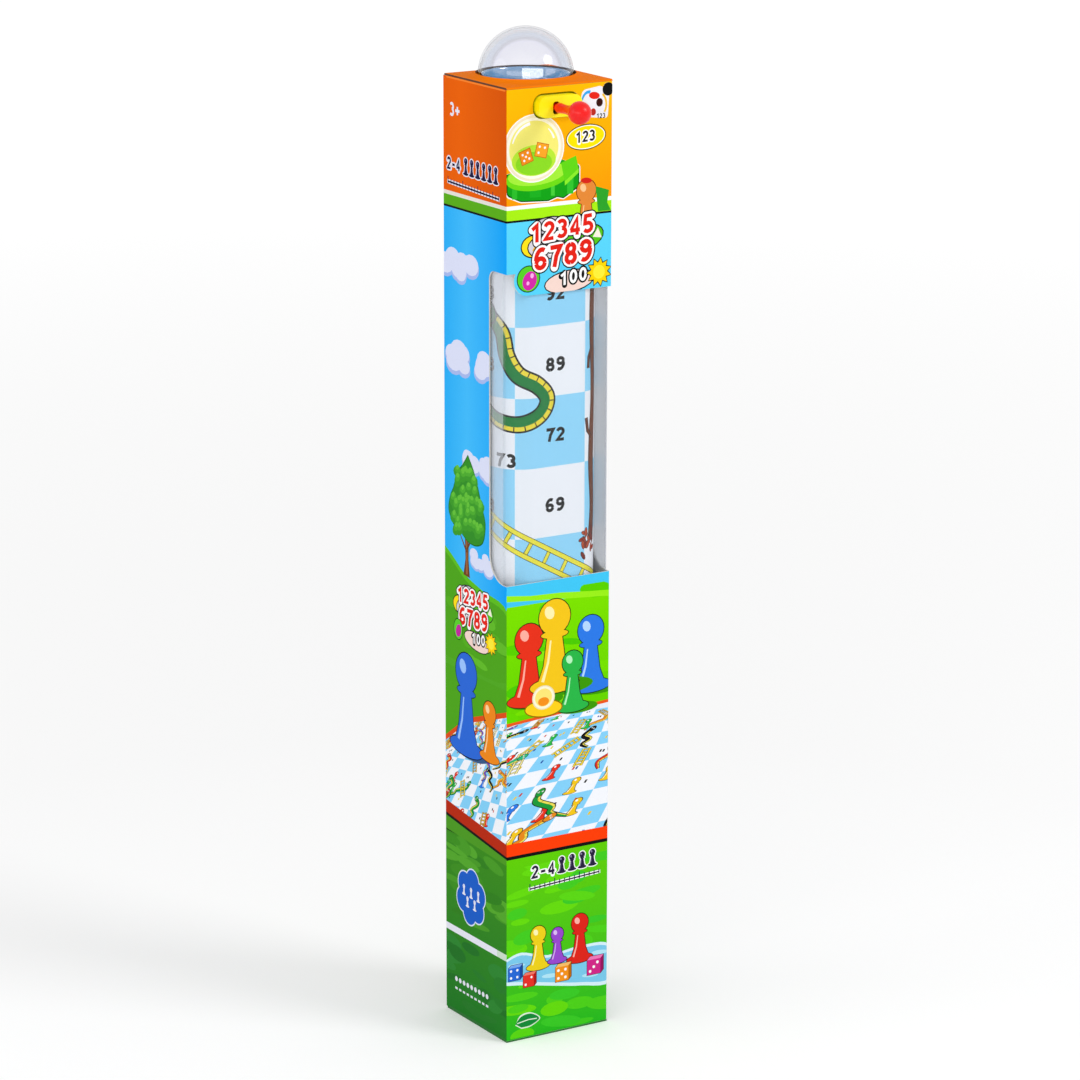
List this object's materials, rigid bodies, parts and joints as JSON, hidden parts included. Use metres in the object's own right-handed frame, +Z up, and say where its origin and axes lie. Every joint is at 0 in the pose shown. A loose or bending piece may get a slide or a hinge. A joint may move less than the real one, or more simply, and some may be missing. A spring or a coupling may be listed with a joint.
{
  "type": "boxed snakes and ladders floor game",
  "caption": "Tall square printed carton with a wrap-round window on a rolled snakes and ladders mat; a dice popper's clear dome and red lever stand out of its top and front.",
  "frame": {"origin": "middle of the carton's square base, on the surface that it stands on", "axes": "+Z up the carton, +X to the right of the front wall, and the front wall with the lever faces -Y"},
  "size_m": [0.0852, 0.1285, 0.719],
  "materials": {
    "printed_card": "gloss print on white board",
    "plain_card": "bare brown card",
    "clear_film": "clear glossy film",
    "seal_paper": "black gummed paper",
    "mat_vinyl": "printed soft sheet, satin",
    "leaflet_paper": "uncoated paper",
    "yellow_plastic": "moulded, glossy",
    "red_plastic": "moulded, glossy",
    "green_plastic": "moulded, glossy",
    "blue_plastic": "moulded, glossy",
    "well_plastic": "moulded, very glossy",
    "white_plastic": "moulded, satin",
    "dome_plastic": "clear blown plastic",
    "steel": "plated steel"
  },
  "bodies": {
    "carton": {"carton_sleeve": "printed_card", "bottom_panel": "printed_card", "bottom_tuck": "printed_card", "bottom_flap_left": "printed_card", "bottom_flap_right": "printed_card", "window_film": "clear_film", "seal_dot": "seal_paper", "play_mat": "mat_vinyl", "spacer_tray": "plain_card", "rule_leaflet": "leaflet_paper", "pawn_red": "red_plastic", "pawn_yellow": "yellow_plastic", "pawn_green": "green_plastic", "pawn_blue": "blue_plastic", "popper_base": "yellow_plastic", "base_screws": "steel", "popper_housing": "yellow_plastic", "popper_dome": "dome_plastic", "dice_well": "well_plastic", "return_spring": "steel", "lever_pin": "steel"},
    "lid": {"top_lid": "printed_card"},
    "tuck": {"lid_tuck": "printed_card"},
    "flap_left": {"dust_flap_left": "printed_card"},
    "flap_right": {"dust_flap_right": "printed_card"},
    "lever": {"press_lever": "red_plastic"},
    "plunger": {"pop_plate": "white_plastic", "plunger_foot": "white_plastic"},
    "loose_die": {"die": "white_plastic"}
  },
  "joints": [
    {"name": "lid_hinge", "type": "hinge", "parent": "carton", "child": "lid", "pos_m": [0, -0.0425, 0.6835], "axis": [1, 0, 0], "range_deg": [0, 105]},
    {"name": "tuck_fold", "type": "hinge", "parent": "lid", "child": "tuck", "pos_m": [0, 0.0393, 0.68365], "axis": [1, 0, 0], "range_deg": [-55, 0]},
    {"name": "left_flap_fold", "type": "hinge", "parent": "carton", "child": "flap_left", "pos_m": [-0.0425, 0, 0.6823], "axis": [0, -1, 0], "range_deg": [0, 91]},
    {"name": "right_flap_fold", "type": "hinge", "parent": "carton", "child": "flap_right", "pos_m": [0.0425, 0, 0.6823], "axis": [0, 1, 0], "range_deg": [0, 91]},
    {"name": "lever_press", "type": "hinge", "parent": "carton", "child": "lever", "pos_m": [-0.0065, -0.041, 0.67], "axis": [1, 0, 0], "range_deg": [0, 10], "stiffness_Nm_per_rad": 0.3},
    {"name": "plate_lift", "type": "slide", "parent": "carton", "child": "plunger", "axis": [0, 0, 1], "range_m": [0, 0.0075], "deforming": ["return_spring"]},
    {"name": "die_hop", "type": "slide", "parent": "plunger", "child": "loose_die", "axis": [0, 0, 1], "range_m": [0, 0.015]}
  ],
  "couplings": [
    {"joint": "tuck_fold", "follows": "lid_hinge", "ratio": -0.5},
    {"joint": "left_flap_fold", "follows": "lid_hinge", "ratio": 0.857},
    {"joint": "right_flap_fold", "follows": "lid_hinge", "ratio": 0.857},
    {"joint": "plate_lift", "follows": "lever_press", "m_per_rad": 0.0425}
  ]
}
